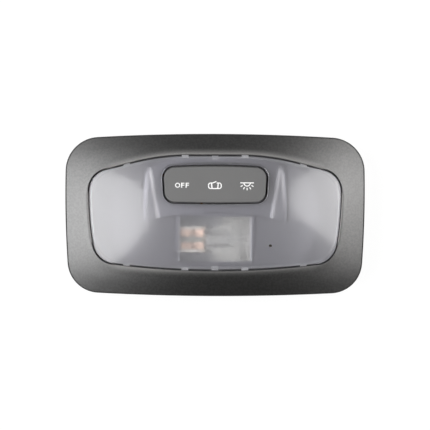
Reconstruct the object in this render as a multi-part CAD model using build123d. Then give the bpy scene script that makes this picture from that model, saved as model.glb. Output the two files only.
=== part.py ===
from build123d import *

import os
from math import cos, radians, sin, sqrt

# Car dome light. Units are millimetres.
# +X runs along the lamp, +Y towards the rocker side, +Z out of the lens.
# z = 0 is the plane of the roof lining that the bezel seats on.

# Face layout, stacked from the top of the lens opening downwards
rocker_top_margin = 4.9
rocker_hole_height = 20.0
divider_height = 5.6
window_height = 23.0
window_bottom_margin = 4.7

# Lens opening in the bezel
opening_half_length = 63.5
shoulder_half_length = 27.0
shoulder_drop = 9.5
shoulder_blend_radius = 110.0
opening_side_bow_radius = 160.0
opening_widest_below_top = 18.5
opening_bottom_sag = 4.4
opening_top_corner = 11.3
opening_bottom_corner = 12.0

# Bezel
bezel_band_side = 11.5
bezel_band_top = 10.45
bezel_band_bottom = 12.55
bezel_top_sag = 2.7
bezel_bottom_sag = 2.3
bezel_side_bow_radius = 560.0
bezel_widest_below_top = 28.1
bezel_top_corner = 17.0
bezel_bottom_corner = 16.0
bezel_wall = 2.2
bezel_edge_radius = 0.8
opening_edge_radius = 0.4
collar_wall = 1.8
collar_depth = 3.0

# Crown shared by the bezel, the lens and the rocker
crown_radius_x = 380.0
crown_radius_y = 175.0
corner_height = 2.8
sheet_margin = 8.0
sheet_depth = 60.0

# Lens
lens_gap = 0.45
lens_recess = 0.1
lens_thickness = 2.2
lens_edge_radius = 0.4
lens_skirt_wall = 1.6
lens_skirt_bottom = 4.5
lens_hole_rim_wall = 1.3
lens_hole_rim_depth = 2.6
tab_width = 3.5
tab_inner_x = 15.0
tab_outer_x = 44.0
tab_recess = 0.15
tab_thickness = 1.6
tab_clearance = 0.12
hook_width = 3.5
hook_catch = 0.8
hook_height = 2.4
hook_above_skirt = 0.6
hook_clearance = 0.2

# Rocker
rocker_top_half = 26.95
rocker_bottom_half = 25.85
rocker_top_sag = 1.0
rocker_bottom_sag = 0.4
rocker_top_corner = 6.2
rocker_bottom_corner = 5.9
rocker_gap = 0.9
rocker_recess = 0.1
rocker_cap_thickness = 1.8
rocker_edge_radius = 0.5
rocker_skirt_wall = 1.2
rocker_skirt_depth = 6.5
rocker_throw = 7.0
pivot_depth = 5.6
pin_radius = 1.5
pin_clearance = 0.05
post_thickness = 1.6
post_ring_wall = 1.0
post_foot_half = 6.0
post_side_gap = 0.4
keel_side_gap = 0.3
stem_half_x = 3.2
stem_half_y = 3.4
notch_radius = 0.7
notch_depth = 0.35

# Switch contacts and brass bars
bar_thickness = 0.6
bar_width = 2.2
pad_width = 1.2
pad_length = 1.6
pad_offset = 4.7
wipe_clearance = 0.12
bridge_thickness = 0.35
bridge_width = 0.8
bridge_slot_height = 3.6
bridge_fit = 0.1
leaf_thickness = 0.3
leaf_width = 4.0
leaf_half_length = 8.5
leaf_rise = 1.2
leaf_clearance = 0.1
stake_radius = 0.7
stake_height = 1.1
stake_clearance = 0.1
run_gap = 1.4
bend_radius = 0.6

# Reflector
reflector_wall = 1.4
reflector_inset = 0.2
dish_radius_x = 400.0
dish_radius_y = 220.0
dish_seat_gap = 0.1
deck_rise = 3.1
deck_half_length = 35.8
deck_edge_sag = 4.5
deck_edge_gap = 4.0
deck_hole_clearance = 0.6
fairing_x = 31.5
fairing_bend_radius = 14.0
fairing_rise = 0.75
fairing_length = 28.0
fairing_drift = 1.4
window_half_length = 18.5
window_corner = 1.2
window_rim_wall = 1.2
window_rim_rise = 1.0
diffuser_thickness = 1.0
diffuser_fit = 0.1
diffuser_recess = 0.4
diffuser_edge_radius = 0.2
ledge_width = 0.6
ledge_thickness = 0.8

# Housing
flange_thickness = 2.0
housing_wall = 1.8
tray_half_length = 31.0
tray_margin = 3.0
tray_depth = 4.0
tray_corner = 3.0
pocket_end_margin = 2.4
pocket_side_margin = 0.5
arch_half = 4.2
arch_height = 2.6
keeper_height = 1.1
keeper_length = 1.2
keeper_clearance = 0.15
ear_radius = 4.2
boss_radius = 3.0
boss_inset_x = 13.0
boss_inset_y = 11.0
pilot_radius = 1.15
screw_radius = 1.1
screw_head_radius = 2.6
screw_head_height = 1.9
screw_hole_radius = 1.5
rib_thickness = 1.4
rib_depth = 3.5
rib_offset = 4.0

# Plug socket
blade_width = 2.8
blade_thickness = 0.8
blade_pitch = 4.5
blade_tip_inset = 1.0
shroud_half_x = 8.2
shroud_half_y = 4.9
shroud_wall = 1.3
shroud_corner = 1.0
blade_slot_clearance = 0.1

# Roof clips
clip_thickness = 0.5
clip_width = 10.0
clip_spread = 10.5
clip_rise = 9.0
tower_thickness = 3.0
tower_inset = 5.05
tower_drop = 8.5
tower_side = 1.0
nub_size = 2.4
nub_clearance = 0.2

# Wedge bulb and its holder
bulb_radius = 5.0
bulb_clearance = 0.4
bulb_glass_wall = 0.7
bulb_envelope_length = 18.5
bulb_neck_length = 3.0
bulb_neck_radius = 2.6
wedge_setback = 7.0
wedge_length = 9.0
wedge_width = 9.5
wedge_thickness = 2.5
pocket_floor_gap = 0.9
lead_radius = 0.25
lead_spread = 2.6
filament_radius = 0.3
filament_reach = 10.0
bulb_clip_width = 3.2
bulb_clip_spread = 3.1
bulb_clip_fit = 0.05
bulb_clip_heel = 0.8
bulb_clip_reach = 10.0
bulb_clip_mouth = 3.2
bulb_clip_flare = 0.9
holder_wall = 1.2
holder_length = 16.0
holder_side_fit = 0.2
holder_rise = 2.2

# Derived layout
opening_height = (rocker_top_margin + rocker_hole_height + divider_height
                  + window_height + window_bottom_margin)
bezel_height = opening_height + bezel_band_top + bezel_band_bottom
bezel_half_length = opening_half_length + bezel_band_side
bezel_top = bezel_height / 2
bezel_bottom = -bezel_height / 2
opening_top = bezel_top - bezel_band_top
opening_bottom = bezel_bottom + bezel_band_bottom
rocker_hole_top = opening_top - rocker_top_margin
rocker_hole_bottom = rocker_hole_top - rocker_hole_height
rocker_y = (rocker_hole_top + rocker_hole_bottom) / 2
window_top = rocker_hole_bottom - divider_height
window_bottom = window_top - window_height
window_y = (window_top + window_bottom) / 2


def bowed_x(half_length, bow_radius, widest_y, y):
    """Half-length of an outline whose side is bowed about widest_y."""
    return half_length - bow_radius + sqrt(bow_radius**2 - (y - widest_y) ** 2)


def crown_drop(radius_x, radius_y, x, y):
    """Fall of a parabolic crown from its apex to a point."""
    return x**2 / (2 * radius_x) + y**2 / (2 * radius_y)


bezel_corner_y = bezel_top - bezel_top_sag
bezel_corner_x = bowed_x(bezel_half_length, bezel_side_bow_radius,
                         bezel_top - bezel_widest_below_top, bezel_corner_y)
crown_apex = corner_height + crown_drop(crown_radius_x, crown_radius_y, bezel_corner_x, bezel_corner_y)


def crown_z(x, y, inset=0.0):
    """Height of the crowned front, or of the surface set inset below it."""
    return crown_apex - inset - crown_drop(crown_radius_x, crown_radius_y, x, y)


joint_z = -collar_depth
deck_z = joint_z - tray_depth
bar_top = deck_z + bar_thickness
pivot_z = crown_z(0, rocker_y, rocker_recess) - pivot_depth
stem_bottom = deck_z + leaf_rise
stem_radius = pivot_z - stem_bottom
wipe_travel = stem_radius * sin(radians(rocker_throw))
bulb_z = joint_z - bulb_clearance - bulb_radius
pocket_floor = bulb_z - bulb_radius - pocket_floor_gap
rear_z = pocket_floor - housing_wall
dish_z = joint_z + dish_seat_gap + reflector_wall
deck_top = dish_z + deck_rise
window_rim_top = dish_z + window_rim_rise
window_rim_top += crown_drop(dish_radius_x, dish_radius_y, window_half_length, window_y)
diffuser_bottom = window_rim_top - diffuser_recess - diffuser_thickness
post_outer = rocker_hole_height / 2 - rocker_gap - rocker_skirt_wall - post_side_gap
post_inner = post_outer - post_thickness
keel_half = post_inner - keel_side_gap
post_ring = pin_radius + pin_clearance + post_ring_wall
pocket_left = -window_half_length - pocket_end_margin
tray_top = opening_top - tray_margin
tray_bottom = opening_bottom + tray_margin
blade_y = window_top + pocket_side_margin + housing_wall + shroud_half_y
blade_tip = rear_z + blade_tip_inset
supply_x = -1.5 * blade_pitch
ground_x = supply_x + blade_pitch
door_x = ground_x + blade_pitch
boss_x = bezel_half_length - boss_inset_x
boss_y = bezel_top - boss_inset_y
pilot_depth = crown_z(boss_x + boss_radius, boss_y + boss_radius, bezel_wall) - joint_z
tower_x = opening_half_length - tower_inset
tower_bottom = joint_z - flange_thickness - tower_drop
nub_z = joint_z - flange_thickness - tower_drop / 2
supply_run_x = pocket_left - run_gap - bar_width / 2
lamp_run_x = (supply_run_x - bar_width / 2 - tray_half_length) / 2
door_pad_y = rocker_y - pad_offset
lamp_pad_y = rocker_y + pad_offset
holder_left = pocket_left + holder_side_fit
holder_half = wedge_width / 2 + holder_side_fit
clip_heel_x = holder_left + holder_wall + bulb_clip_heel
clip_pinch_x = clip_heel_x + bulb_clip_reach
wedge_end = holder_left + holder_wall + wedge_setback
filament_x = wedge_end + wedge_length + filament_reach
lens_z_top = crown_apex + 1


def prism(face, low, high):
    """Upright solid over a flat outline."""
    return extrude(Pos(0, 0, low) * face, amount=high - low, dir=(0, 0, 1))


def box_between(x_range, y_range, z_range):
    """Plain block given by its limits."""
    size = [high - low for low, high in (x_range, y_range, z_range)]
    centre = [(high + low) / 2 for low, high in (x_range, y_range, z_range)]
    return Pos(*centre) * Box(*size)


def rod_y(radius, x, y_range, z):
    """Round bar lying along Y."""
    low, high = y_range
    circle = Plane((x, low, z), x_dir=(1, 0, 0), z_dir=(0, 1, 0)) * Circle(radius)
    return extrude(circle, amount=high - low, dir=(0, 1, 0))


def upright(radius, x, y, low, high):
    """Round bar standing along Z."""
    return prism(Pos(x, y) * Circle(radius), low, high)


def strip_xz(points, thickness, y_range, radius=bend_radius):
    """Sheet strip bent in the XZ plane and as wide as y_range."""
    low, high = y_range
    profile = trace(FilletPolyline(*points, radius=radius), thickness)
    return extrude(Plane.XZ * profile, amount=high - low, dir=(0, 1, 0)).moved(Pos(0, low, 0))


def strip_yz(points, thickness, x_range, radius=bend_radius):
    """Sheet strip bent in the YZ plane and as wide as x_range."""
    low, high = x_range
    profile = trace(FilletPolyline(*points, radius=radius), thickness)
    return extrude(Plane.YZ * profile, amount=high - low, dir=(1, 0, 0)).moved(Pos(low, 0, 0))


def crown_surface(apex, radius_x, radius_y):
    """Parabolic sheet wider than the lamp; negative radii turn it into a dish."""
    half_x = bezel_half_length + sheet_margin
    half_y = bezel_height / 2 + sheet_margin
    along = zip((-half_x, 0, half_x), (-1, 1, -1))
    rows = [(x, sign * half_x**2 / (2 * radius_x)) for x, sign in along]
    across = zip((-half_y, 0, half_y), (-1, 1, -1))
    columns = [(y, sign * half_y**2 / (2 * radius_y)) for y, sign in across]
    net = [[(x, y, apex + rise_x + rise_y) for y, rise_y in columns] for x, rise_x in rows]
    return Face.make_bezier_surface(net)


def crown(inset=0.0):
    """Solid below the crowned front, lowered by inset."""
    sheet = crown_surface(crown_apex - inset, crown_radius_x, crown_radius_y)
    return Part() + extrude(sheet, amount=sheet_depth, dir=(0, 0, -1))


def above_dish(rise=0.0):
    """Space above the reflector dish, or above a surface raised from it."""
    sheet = crown_surface(dish_z + rise, -dish_radius_x, -dish_radius_y)
    return Part() + extrude(sheet, amount=sheet_depth, dir=(0, 0, 1))


def front_face(solid):
    """Crowned face that the viewer sees."""
    upward = [face for face in solid.faces() if face.normal_at().Z > 0.8]
    return ShapeList(upward).sort_by(SortBy.AREA)[-1]


def grown(face, amount):
    """Outline moved outwards by amount, with its arcs kept as true arcs."""
    edges = []
    for edge in offset(face, amount).edges():
        if edge.geom_type == GeomType.LINE:
            edges.append(Line(edge @ 0, edge @ 1))
        else:
            edges.append(ThreePointArc(edge @ 0, edge @ 0.5, edge @ 1))
    return make_face(edges)


def round_corners(face, y, radius):
    """Round the corners of an outline that lie at a given height."""
    return fillet(face.vertices().filter_by_position(Axis.Y, y - 0.01, y + 0.01), radius)


def bezel_outline():
    """Outer edge of the bezel, bowed on all four sides."""
    widest = bezel_top - bezel_widest_below_top
    high_x, high_y = bezel_corner_x, bezel_corner_y
    low_y = bezel_bottom + bezel_bottom_sag
    low_x = bowed_x(bezel_half_length, bezel_side_bow_radius, widest, low_y)
    edges = [
        ThreePointArc((-high_x, high_y), (0, bezel_top), (high_x, high_y)),
        ThreePointArc((high_x, high_y), (bezel_half_length, widest), (low_x, low_y)),
        ThreePointArc((low_x, low_y), (0, bezel_bottom), (-low_x, low_y)),
        ThreePointArc((-low_x, low_y), (-bezel_half_length, widest), (-high_x, high_y)),
    ]
    face = round_corners(make_face(edges), high_y, bezel_top_corner)
    return round_corners(face, low_y, bezel_bottom_corner)


def opening_outline():
    """Lens opening: level top, sloping shoulders, bowed sides and bottom."""
    widest = opening_top - opening_widest_below_top
    high_y = opening_top - shoulder_drop
    low_y = opening_bottom + opening_bottom_sag
    high_x = bowed_x(opening_half_length, opening_side_bow_radius, widest, high_y)
    low_x = bowed_x(opening_half_length, opening_side_bow_radius, widest, low_y)
    shoulder = shoulder_half_length
    edges = [
        Polyline((-high_x, high_y), (-shoulder, opening_top), (shoulder, opening_top), (high_x, high_y)),
        ThreePointArc((high_x, high_y), (opening_half_length, widest), (low_x, low_y)),
        ThreePointArc((low_x, low_y), (0, opening_bottom), (-low_x, low_y)),
        ThreePointArc((-low_x, low_y), (-opening_half_length, widest), (-high_x, high_y)),
    ]
    face = round_corners(make_face(edges), opening_top, shoulder_blend_radius)
    face = round_corners(face, high_y, opening_top_corner)
    return round_corners(face, low_y, opening_bottom_corner)


def rocker_hole_outline():
    """Hole in the lens for the rocker, a little wider at the top."""
    high_y = rocker_hole_top - rocker_top_sag
    low_y = rocker_hole_bottom + rocker_bottom_sag
    edges = [
        ThreePointArc((-rocker_top_half, high_y), (0, rocker_hole_top), (rocker_top_half, high_y)),
        Line((rocker_top_half, high_y), (rocker_bottom_half, low_y)),
        ThreePointArc((rocker_bottom_half, low_y), (0, rocker_hole_bottom), (-rocker_bottom_half, low_y)),
        Line((-rocker_bottom_half, low_y), (-rocker_top_half, high_y)),
    ]
    face = round_corners(make_face(edges), high_y, rocker_top_corner)
    return round_corners(face, low_y, rocker_bottom_corner)


bezel_face = bezel_outline()
opening_face = opening_outline()
collar_face = grown(opening_face, collar_wall)
lens_face = grown(opening_face, -lens_gap)
rocker_hole_face = rocker_hole_outline()
boss_points = [(x, y) for x in (-boss_x, boss_x) for y in (-boss_y, boss_y)]
hook_bottom = lens_skirt_bottom + hook_above_skirt
hook_top = hook_bottom + hook_height


def make_bezel():
    """Crowned frame with a skirt, a collar round the lens and four screw bosses."""
    block = prism(bezel_face, 0, lens_z_top) & crown()
    block = fillet(front_face(block).edges(), bezel_edge_radius)
    inside = prism(grown(bezel_face, -bezel_wall), -1, lens_z_top) & crown(bezel_wall)
    body = block - (inside - prism(collar_face, -2, lens_z_top))
    body += prism(collar_face, joint_z, 1)
    body -= prism(opening_face, joint_z - 1, lens_z_top)
    body = fillet(front_face(body).inner_wires()[0].edges(), opening_edge_radius)
    under_face = crown(bezel_wall / 2)
    for x, y in boss_points:
        body += upright(boss_radius, x, y, joint_z, lens_z_top) & under_face
    for x, y in boss_points:
        body -= upright(pilot_radius, x, y, joint_z, joint_z + pilot_depth)
    half = hook_width / 2 + hook_clearance
    heights = (hook_bottom - hook_clearance, hook_top + hook_clearance)
    body -= box_between((-half, half), (opening_top - 1, opening_top + collar_wall + 1), heights)
    body -= box_between((-half, half), (opening_bottom - collar_wall - 1, opening_bottom + 1), heights)
    return body


def snap_hook(edge_y, outward):
    """Wedge on the lens skirt that catches in a window of the collar."""
    reach = edge_y + outward * (lens_gap + hook_catch)
    root = edge_y - outward * lens_skirt_wall / 2
    wedge = make_face(Polyline((root, hook_bottom), (edge_y, hook_bottom), (reach, hook_top - 0.5),
                               (reach, hook_top), (root, hook_top), close=True))
    return extrude(Plane.YZ * wedge, amount=hook_width / 2, both=True)


def edge_tabs():
    """Small ledges that centre the lens in the opening."""
    ring = prism(grown(opening_face, -tab_clearance), lens_skirt_bottom, lens_z_top)
    ring -= prism(grown(lens_face, -lens_skirt_wall / 2), lens_skirt_bottom - 1, lens_z_top + 1)
    ring = (ring & crown(tab_recess)) - crown(tab_recess + tab_thickness)
    stations = [side * x for side in (-1, 1) for x in (tab_inner_x, tab_outer_x)]
    half = tab_width / 2
    height = (0, lens_z_top)
    slices = [box_between((x - half, x + half), (bezel_bottom, bezel_top), height) for x in stations]
    return ring & Part(children=slices)


def make_lens():
    """Clear crowned cover with a skirt, a rimmed rocker hole, tabs and hooks."""
    block = prism(lens_face, lens_skirt_bottom, lens_z_top) & crown(lens_recess)
    block = fillet(front_face(block).edges(), lens_edge_radius)
    inner = crown(lens_recess + lens_thickness)
    body = block - (prism(grown(lens_face, -lens_skirt_wall), 0, lens_z_top) & inner)
    rim = prism(grown(rocker_hole_face, lens_hole_rim_wall), 0, lens_z_top)
    rim &= crown(lens_recess + lens_thickness / 2)
    body += rim - crown(lens_recess + lens_thickness + lens_hole_rim_depth)
    body -= prism(rocker_hole_face, 0, lens_z_top)
    hole_wire = front_face(body).inner_wires()[0]
    body = fillet(hole_wire.edges(), lens_edge_radius)
    body += edge_tabs()
    body += snap_hook(opening_top - lens_gap, 1)
    body += snap_hook(opening_bottom + lens_gap, -1)
    return body


def make_rocker():
    """Switch cap with a keel between the posts, trunnions and a notched stem."""
    outline = grown(rocker_hole_face, -rocker_gap)
    skirt_bottom = crown_z(rocker_top_half, rocker_hole_top) - rocker_skirt_depth
    block = prism(outline, skirt_bottom, lens_z_top) & crown(rocker_recess)
    block = fillet(front_face(block).edges(), rocker_edge_radius)
    under_cap = crown(rocker_recess + rocker_cap_thickness)
    body = block - (prism(grown(outline, -rocker_skirt_wall), 0, lens_z_top) & under_cap)
    web = crown(rocker_recess + rocker_cap_thickness / 2)
    keel = box_between((-stem_half_x, stem_half_x), (rocker_y - keel_half, rocker_y + keel_half),
                       (pivot_z - post_ring, lens_z_top))
    stem = box_between((-stem_half_x, stem_half_x), (rocker_y - stem_half_y, rocker_y + stem_half_y),
                       (stem_bottom - 1, pivot_z))
    stem &= rod_y(stem_radius, 0, (rocker_y - keel_half, rocker_y + keel_half), pivot_z)
    body += (keel & web) + stem
    body += rod_y(pin_radius, 0, (rocker_y - post_outer + 0.1, rocker_y + post_outer - 0.1), pivot_z)
    for step in (-1, 0, 1):
        angle = radians(step * rocker_throw)
        centre = stem_radius + notch_radius - notch_depth
        body -= rod_y(notch_radius, centre * sin(angle), (rocker_y - keel_half, rocker_y + keel_half),
                      pivot_z - centre * cos(angle))
    slot_top = stem_bottom + bridge_slot_height
    slot_half = bridge_thickness / 2 + bridge_fit
    body -= box_between((-stem_half_x - 1, bridge_width / 2 + bridge_fit),
                        (rocker_y - keel_half, rocker_y + keel_half),
                        (slot_top - slot_half, slot_top + slot_half))
    return body


def make_contact_bridge():
    """Bronze staple through the stem; its two feet wipe the pads."""
    leg = stem_half_y + bridge_fit + bridge_thickness / 2
    top = stem_bottom + bridge_slot_height
    foot = bar_top + wipe_clearance + bridge_thickness / 2
    right = [(leg, top), (leg, foot + 0.9), (pad_offset, foot), (pad_offset + 0.7, foot + 0.4)]
    left = [(-y, z) for y, z in reversed(right)]
    points = [(rocker_y + y, z) for y, z in left + right]
    return strip_yz(points, bridge_thickness, (-bridge_width / 2, bridge_width / 2), bridge_thickness)


def make_detent_leaf():
    """Steel leaf whose bump rests in a notch of the stem."""
    crest = stem_bottom + notch_depth - leaf_clearance - leaf_thickness / 2
    foot = deck_z + leaf_thickness / 2
    ramp = 2 * notch_radius
    right = [(ramp, foot + 0.4), (leaf_half_length - 2, foot), (leaf_half_length, foot)]
    left = [(-x, z) for x, z in reversed(right)]
    span = (rocker_y - leaf_width / 2, rocker_y + leaf_width / 2)
    return strip_xz(left + [(0, crest)] + right, leaf_thickness, span, leaf_thickness)


def rectangle_between(x_range, y_range, radius):
    """Rounded rectangle given by its limits."""
    left, right = x_range
    low, high = y_range
    return Pos((left + right) / 2, (low + high) / 2) * RectangleRounded(right - left, high - low, radius)


reflector_face = grown(lens_face, -reflector_inset)
window_face = rectangle_between((-window_half_length, window_half_length), (window_bottom, window_top),
                                window_corner)
tray_face = rectangle_between((-tray_half_length, tray_half_length), (tray_bottom, tray_top), tray_corner)
pocket_face = grown(window_face, pocket_side_margin)
pocket_face += rectangle_between((pocket_left, 0), (window_bottom - pocket_side_margin,
                                                    window_top + pocket_side_margin), window_corner)


def deck_outline():
    """Raised part of the reflector round the rocker, with an arched lower edge."""
    high = rocker_hole_bottom - deck_edge_gap
    low = high - deck_edge_sag
    half = deck_half_length
    arc = ThreePointArc((-half, low), (0, high), (half, low))
    return make_face([arc, Polyline((half, low), (half, opening_top), (-half, opening_top), (-half, low))])


def fairing(side):
    """Low round swelling beside the rocker that sinks into the deck towards the shoulder."""
    base_y = rocker_hole_bottom - deck_edge_gap - deck_edge_sag
    base = Vector(side * fairing_x, base_y, deck_top + fairing_rise - fairing_bend_radius)
    run = Vector(side * fairing_drift, fairing_length, -fairing_rise)
    plane = Plane(base, x_dir=(1, 0, 0), z_dir=run)
    return extrude(plane * Circle(fairing_bend_radius), amount=run.length, dir=tuple(run))


def make_reflector():
    """Satin tray under the lens: dish, raised deck, fairings and a framed bulb window."""
    deck_face = deck_outline()
    inner_face = grown(reflector_face, -reflector_wall)
    block = prism(reflector_face, joint_z, lens_skirt_bottom)
    body = block - above_dish()
    body += block & prism(deck_face, joint_z, deck_top)
    body -= prism(inner_face, joint_z - 1, lens_skirt_bottom) - above_dish(-reflector_wall)
    deck_inside = prism(grown(deck_face, -reflector_wall), joint_z - 1, deck_top - reflector_wall)
    body -= deck_inside & prism(inner_face, joint_z - 1, lens_skirt_bottom)
    deck_skin = block & prism(deck_face, deck_top - reflector_wall / 2, lens_skirt_bottom)
    for side in (-1, 1):
        body += fairing(side) & deck_skin
    rim_bottom = bar_top + 2 * holder_side_fit
    body += prism(grown(window_face, window_rim_wall), rim_bottom, window_rim_top)
    ledge = prism(window_face, diffuser_bottom - ledge_thickness, diffuser_bottom)
    ledge -= prism(grown(window_face, -ledge_width), rim_bottom, lens_skirt_bottom)
    body -= prism(window_face, rim_bottom - 1, lens_skirt_bottom) - ledge
    body -= prism(grown(rocker_hole_face, deck_hole_clearance), joint_z - 1, lens_skirt_bottom + 1)
    return body


def make_diffuser():
    """Frosted pane that lies on the ledge of the bulb window."""
    pane = prism(grown(window_face, -diffuser_fit), diffuser_bottom, diffuser_bottom + diffuser_thickness)
    return fillet(pane.edges().group_by(Axis.Z)[-1], diffuser_edge_radius)


def post_profile():
    """Bearing post for the rocker, arched at the foot to clear the bars."""
    foot = post_foot_half
    post = make_face(Polyline((-foot, deck_z - 0.5), (foot, deck_z - 0.5), (post_ring, pivot_z),
                              (-post_ring, pivot_z), close=True))
    post += Pos(0, pivot_z) * Circle(post_ring)
    post -= Pos(0, pivot_z) * Circle(pin_radius + pin_clearance)
    return post - Pos(0, deck_z + arch_height / 2) * Rectangle(2 * arch_half, arch_height)


def stake_points():
    """Hot-stake positions, one on each long bar."""
    return [(supply_run_x, (window_y + blade_y) / 2), (lamp_run_x, (window_y + lamp_pad_y) / 2)]


def make_housing():
    """Rear moulding that carries the switch, the bulb, the bars and the roof clips."""
    flange_bottom = joint_z - flange_thickness
    flange_face = collar_face
    for x, y in boss_points:
        flange_face += Pos(x, y) * Circle(ear_radius)
        flange_face += trace(Line((x, y), (x * 0.8, y * 0.6)), 2 * ear_radius)
    body = prism(flange_face, flange_bottom, joint_z)
    body += prism(grown(tray_face, housing_wall), deck_z - housing_wall, joint_z)
    body += prism(grown(pocket_face, housing_wall), rear_z, deck_z)
    shroud_face = RectangleRounded(2 * shroud_half_x, 2 * shroud_half_y, shroud_corner)
    shroud_face = Pos(ground_x, blade_y) * shroud_face
    body += prism(grown(shroud_face, shroud_wall), rear_z, deck_z - housing_wall / 2)
    for side in (-1, 1):
        inner = tower_x - tower_thickness
        half = clip_width / 2 + tower_side
        body += box_between(sorted((side * inner, side * tower_x)), (-half, half),
                            (tower_bottom, joint_z - 1))
        nub_end = tower_x + clip_thickness + nub_clearance
        body += box_between(sorted((side * inner, side * nub_end)), (-nub_size / 2, nub_size / 2),
                            (nub_z - nub_size / 2, nub_z + nub_size / 2))
        for rib_y in (-rib_offset, rib_offset):
            span = sorted((side * tray_half_length, side * inner))
            body += box_between(span, (rib_y - rib_thickness / 2, rib_y + rib_thickness / 2),
                                (flange_bottom - rib_depth, joint_z - 1))
    body -= prism(tray_face, deck_z, joint_z + 1)
    body -= prism(pocket_face, pocket_floor, deck_z + 1)
    body -= prism(shroud_face, rear_z - 1, deck_z - housing_wall)
    post = Plane.XZ * post_profile()
    for low in (rocker_y - post_outer, rocker_y + post_inner):
        body += extrude(Pos(0, low, 0) * post, amount=post_thickness, dir=(0, 1, 0))
    for side in (-1, 1):
        start = leaf_half_length + keeper_clearance
        body += box_between(sorted((side * start, side * (start + keeper_length))),
                            (rocker_y - leaf_width / 2, rocker_y + leaf_width / 2),
                            (deck_z - 0.5, deck_z + keeper_height))
    for x, y in stake_points():
        body += upright(stake_radius, x, y, deck_z - 0.5, deck_z + stake_height)
    for x, y in boss_points:
        body -= upright(screw_hole_radius, x, y, flange_bottom - 1, joint_z + 1)
    half_x = blade_width / 2 + blade_slot_clearance
    half_y = blade_thickness / 2 + blade_slot_clearance
    for x in (supply_x, ground_x, door_x):
        body -= box_between((x - half_x, x + half_x), (blade_y - half_y, blade_y + half_y),
                            (deck_z - housing_wall - 1, deck_z + 1))
    return body


def flat_bar(points, width):
    """Flat brass run lying on the housing floor."""
    return prism(trace(Polyline(*points), width), deck_z, bar_top)


def plug_blade(x):
    """Blade that drops through the housing floor into the plug socket."""
    return box_between((x - blade_width / 2, x + blade_width / 2),
                       (blade_y - blade_thickness / 2, blade_y + blade_thickness / 2), (blade_tip, bar_top))


def bulb_clip(y, root_x):
    """Sprung jaws that grip one side of the wedge base."""
    level = deck_z + bar_thickness / 2
    wedge_half = wedge_thickness / 2 + bulb_clip_fit + bar_thickness / 2
    upper = bulb_z + wedge_half + 2 * lead_radius
    lower = bulb_z - wedge_half
    mouth_x = clip_pinch_x + bulb_clip_mouth
    span = (y - bulb_clip_width / 2, y + bulb_clip_width / 2)
    top = strip_xz([(root_x, level), (clip_heel_x, level), (clip_heel_x + 2, upper + bulb_clip_flare / 2),
                    (clip_pinch_x, upper), (mouth_x, upper + bulb_clip_flare)], bar_thickness, span)
    bottom = strip_xz([(clip_heel_x, level), (clip_heel_x, lower - bulb_clip_flare), (clip_pinch_x, lower),
                       (mouth_x, lower - bulb_clip_flare)], bar_thickness, span)
    return top + bottom


def make_supply_bar():
    """Plug blade to the upper bulb clip."""
    y = window_y + bulb_clip_spread
    run_y = rocker_hole_bottom - deck_hole_clearance - bar_width / 2
    corners = [(clip_heel_x, y), (supply_run_x, y), (supply_run_x, run_y), (supply_x, run_y)]
    run = flat_bar(corners, bar_width)
    run += flat_bar([(supply_x, run_y), (supply_x, blade_y)], pad_width)
    body = run + plug_blade(supply_x) + bulb_clip(y, supply_run_x)
    x, stake_y = stake_points()[0]
    return body - upright(stake_radius + stake_clearance, x, stake_y, deck_z - 1, bar_top + 1)


def make_lamp_bar():
    """Lower bulb clip to the common pad of the switch."""
    y = window_y - bulb_clip_spread
    run = flat_bar([(clip_heel_x, y), (lamp_run_x, y), (lamp_run_x, lamp_pad_y)], bar_width)
    pad_end = wipe_travel + pad_width
    pad = flat_bar([(lamp_run_x, lamp_pad_y), (pad_end, lamp_pad_y)], pad_length)
    body = run + pad + bulb_clip(y, supply_run_x)
    x, stake_y = stake_points()[1]
    return body - upright(stake_radius + stake_clearance, x, stake_y, deck_z - 1, bar_top + 1)


def make_switch_bar(pad_x, blade_x):
    """Switch pad to its plug blade, passing under the arch of the post."""
    top = door_pad_y + pad_length / 2
    bend = door_pad_y - pad_length
    run = flat_bar([(pad_x, top), (pad_x, bend), (blade_x, blade_y + 1), (blade_x, blade_y)], pad_width)
    return run + plug_blade(blade_x)


def make_bulb_holder():
    """Pale cradle round the wedge base, open above and towards the bulb."""
    right = holder_left + holder_length
    top = bulb_z + holder_rise
    outer = holder_half + holder_wall
    body = box_between((holder_left, right), (window_y - outer, window_y + outer), (pocket_floor, top))
    body -= box_between((holder_left + holder_wall, right + 1),
                        (window_y - holder_half, window_y + holder_half),
                        (pocket_floor + holder_wall, top + 1))
    rib_half = bulb_clip_spread - bulb_clip_width / 2 - holder_side_fit
    body += box_between((holder_left, right - holder_wall), (window_y - rib_half, window_y + rib_half),
                        (pocket_floor, bulb_z - wedge_thickness / 2 - holder_side_fit))
    for side in (-1, 1):
        y = window_y + side * bulb_clip_spread
        half = bulb_clip_width / 2 + holder_side_fit
        body -= box_between((holder_left - 1, holder_left + holder_wall + 0.5), (y - half, y + half),
                            (deck_z - holder_side_fit, top + 1))
    return body


def envelope(start, tip, radius, neck_radius):
    """Blown glass form, revolved about the bulb axis."""
    shoulder = start + bulb_neck_length
    dome = tip - radius
    diagonal = radius * sqrt(0.5)
    edges = [
        Polyline((tip, 0), (start, 0), (start, neck_radius), (shoulder, radius), (dome, radius)),
        ThreePointArc((dome, radius), (dome + diagonal, diagonal), (tip, 0)),
    ]
    return Pos(0, window_y, bulb_z) * revolve(make_face(edges), Axis.X)


def make_bulb_lead(side):
    """Lead wire from the filament through the wedge, folded back over its face."""
    back = wedge_end - lead_radius - bulb_clip_fit
    fold_z = bulb_z + wedge_thickness / 2 + lead_radius
    wire = FilletPolyline((filament_x + filament_radius, bulb_z), (back, bulb_z), (back, fold_z),
                          (clip_pinch_x + 1.5, fold_z), radius=lead_radius * 2)
    path = Pos(0, window_y + side * lead_spread, 0) * (Plane.XZ * wire)
    return sweep(Plane(path @ 0, z_dir=path % 0) * Circle(lead_radius), path)


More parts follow.
